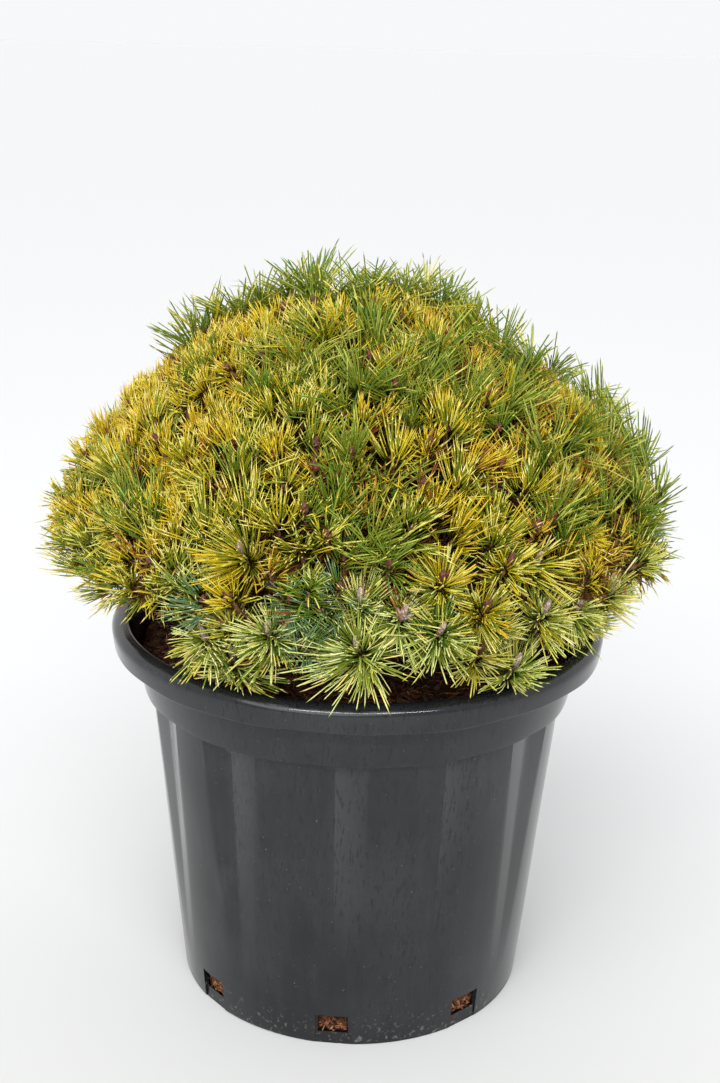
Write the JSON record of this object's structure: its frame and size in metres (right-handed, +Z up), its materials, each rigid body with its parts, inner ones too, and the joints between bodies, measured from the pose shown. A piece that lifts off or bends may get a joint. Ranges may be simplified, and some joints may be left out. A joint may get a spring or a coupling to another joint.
{
  "type": "potted mugo pine",
  "caption": "Dwarf mugo pine with a dense cushion-shaped crown of short needled shoots, growing in a round tapered black plastic nursery pot.",
  "frame": {"origin": "middle of the pot's flat underside", "axes": "+Z up, out of the pot; -Y towards the side seen from the front; +X to the right seen from the front"},
  "size_m": [0.4857, 0.4852, 0.5695],
  "materials": {
    "pot_plastic": "charcoal black moulded plastic, satin, lightly scuffed",
    "potting_mix": "dark brown coir and peat, rough and fibrous",
    "bark": "grey-brown scaly bark",
    "needles": "yellow-green to fresh green needles, satin"
  },
  "bodies": {
    "root": {"pot": "pot_plastic", "potting_mix": "potting_mix", "stem": "bark", "foliage_top": "needles", "bough_upper_1": "bark", "foliage_upper_1": "needles", "bough_upper_2": "bark", "foliage_upper_2": "needles", "bough_upper_3": "bark", "foliage_upper_3": "needles", "bough_upper_4": "bark", "foliage_upper_4": "needles", "bough_upper_5": "bark", "foliage_upper_5": "needles", "bough_upper_6": "bark", "foliage_upper_6": "needles", "bough_lower_1": "bark", "foliage_lower_1": "needles", "bough_lower_2": "bark", "foliage_lower_2": "needles", "bough_lower_3": "bark", "foliage_lower_3": "needles", "bough_lower_4": "bark", "foliage_lower_4": "needles", "bough_lower_5": "bark", "foliage_lower_5": "needles", "bough_lower_6": "bark", "foliage_lower_6": "needles", "bough_lower_7": "bark", "foliage_lower_7": "needles", "bough_lower_8": "bark", "foliage_lower_8": "needles", "bough_lower_9": "bark", "foliage_lower_9": "needles"}
  },
  "joints": []
}
